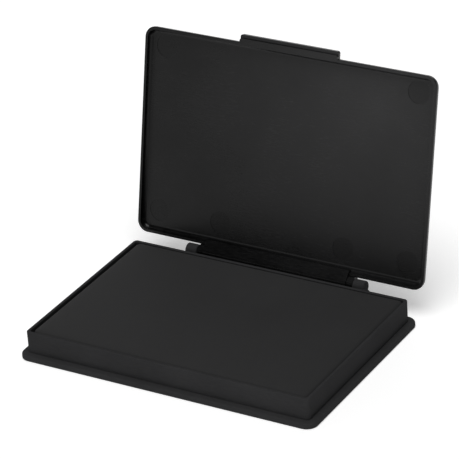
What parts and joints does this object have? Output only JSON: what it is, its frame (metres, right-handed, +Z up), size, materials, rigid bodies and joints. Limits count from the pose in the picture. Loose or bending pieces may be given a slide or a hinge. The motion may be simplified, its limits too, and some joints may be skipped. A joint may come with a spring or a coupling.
{
  "type": "ink pad",
  "caption": "Rectangular stamp pad: cloth-covered ink pad in a flanged plastic tray, with a shallow hinged lid that opens past upright and has a finger tab on its free edge.",
  "frame": {"origin": "centre of the tray's flange, on the underside that it stands on", "axes": "+Z up, away from the table; +X along the long side, to the right of a person who faces the pad; +Y towards the hinge"},
  "size_m": [0.1202, 0.1041, 0.0909],
  "materials": {
    "tray_plastic": "matte moulded surface",
    "lid_plastic": "satin moulded surface with faint flow lines",
    "pin_steel": "blackened drawn wire",
    "pad_cloth": "fine plain weave, soaked with black ink",
    "felt": "dense felt soaked with black ink",
    "board": "dense grey board",
    "tape": "double-sided tissue tape"
  },
  "bodies": {
    "tray": {"base_tray": "tray_plastic", "hinge_pin": "pin_steel", "pad_cover": "pad_cloth", "pad_felt": "felt", "pad_board": "board", "mounting_tape": "tape"},
    "lid": {"lid": "lid_plastic"}
  },
  "joints": [
    {"name": "lid_hinge", "type": "hinge", "parent": "tray", "child": "lid", "pos_m": [0, 0.0426, 0.0085], "axis": [1, 0, 0], "range_deg": [0, 102.7]}
  ]
}
